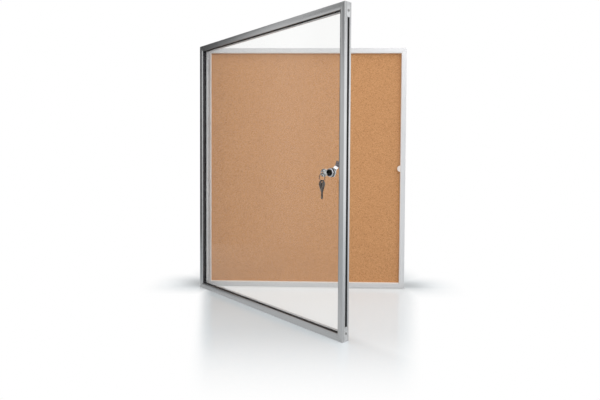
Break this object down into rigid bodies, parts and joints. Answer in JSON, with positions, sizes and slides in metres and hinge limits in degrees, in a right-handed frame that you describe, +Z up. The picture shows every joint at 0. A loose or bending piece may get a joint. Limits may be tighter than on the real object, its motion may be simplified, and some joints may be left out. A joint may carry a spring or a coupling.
{
  "type": "lockable notice board",
  "caption": "Wall-hung cork notice board in a mitred frame, with a glazed side-hinged door, a cam lock and keys on a ring.",
  "frame": {"origin": "middle of the board in width and height, on the wall plane", "axes": "+Z up, +Y into the wall, +X towards the lock side; the door faces -Y and stands 47.6 degrees open at rest"},
  "size_m": [0.7694, 0.5983, 0.9],
  "materials": {
    "case_frame": "satin pale grey aluminium section",
    "door_frame": "satin anodised",
    "bracket": "satin die-cast",
    "cork": "fine-grained pressed cork",
    "backing": "bare hardboard",
    "black_trim": "matt black seal",
    "pane": "clear and polished",
    "chrome": "polished",
    "plug": "black",
    "steel": "bright zinc-plated steel"
  },
  "bodies": {
    "case": {"case_rail_top": "case_frame", "case_rail_bottom": "case_frame", "case_stile_lock": "case_frame", "case_stile_hinge": "case_frame", "case_corner_key_top_lock": "steel", "case_corner_key_bottom_lock": "steel", "case_corner_key_bottom_hinge": "steel", "case_corner_key_top_hinge": "steel", "cork_sheet": "cork", "backing_board": "backing", "keeper": "case_frame", "wall_hanger_left": "steel", "wall_hanger_right": "steel", "hinge_leaf_case": "door_frame", "hinge_pin": "steel"},
    "door": {"hinge_leaf_door": "door_frame", "door_rail_top": "door_frame", "door_rail_bottom": "door_frame", "door_stile_lock": "door_frame", "door_stile_hinge": "door_frame", "gasket_rail_top": "black_trim", "gasket_rail_bottom": "black_trim", "gasket_stile_lock": "black_trim", "gasket_stile_hinge": "black_trim", "edge_strip_rail_top": "black_trim", "edge_strip_rail_bottom": "black_trim", "edge_strip_stile_lock": "black_trim", "door_bracket_top_lock": "bracket", "door_bracket_bottom_lock": "bracket", "door_bracket_bottom_hinge": "bracket", "door_bracket_top_hinge": "bracket", "bracket_screw_top_lock_a": "steel", "bracket_screw_top_lock_b": "steel", "bracket_screw_bottom_lock_a": "steel", "bracket_screw_bottom_lock_b": "steel", "bracket_screw_bottom_hinge_a": "steel", "bracket_screw_bottom_hinge_b": "steel", "bracket_screw_top_hinge_a": "steel", "bracket_screw_top_hinge_b": "steel", "pane": "pane", "lock_body": "chrome", "lock_washer": "black_trim", "lock_nut": "steel"},
    "plug": {"lock_plug": "plug", "lock_cam": "steel", "cam_nut": "steel"},
    "inserted_key": {"key": "steel"},
    "ring": {"key_ring": "chrome"},
    "hanging_key": {"spare_key": "steel"}
  },
  "joints": [
    {"name": "door_hinge", "type": "hinge", "parent": "case", "child": "door", "pos_m": [-0.3778, -0.0255, 0], "axis": [0, 0, -1], "range_deg": [-47.6, 117.4]},
    {"name": "lock_turn", "type": "hinge", "parent": "door", "child": "plug", "pos_m": [0.07576, -0.54816, 0.001], "axis": [0.7385, 0.6743, 0], "range_deg": [-21, 69]},
    {"name": "key_withdraw", "type": "slide", "parent": "plug", "child": "inserted_key", "axis": [-0.7385, -0.6743, 0], "range_m": [0, 0.03]},
    {"name": "ring_swing", "type": "hinge", "parent": "inserted_key", "child": "ring", "pos_m": [0.05545, -0.56671, -0.0004], "axis": [0.6743, -0.7385, 0], "range_deg": [-60, 8]},
    {"name": "spare_key_swing", "type": "hinge", "parent": "ring", "child": "hanging_key", "pos_m": [0.05545, -0.56671, -0.0214], "axis": [0.6743, -0.7385, 0], "range_deg": [-60, 8]}
  ]
}
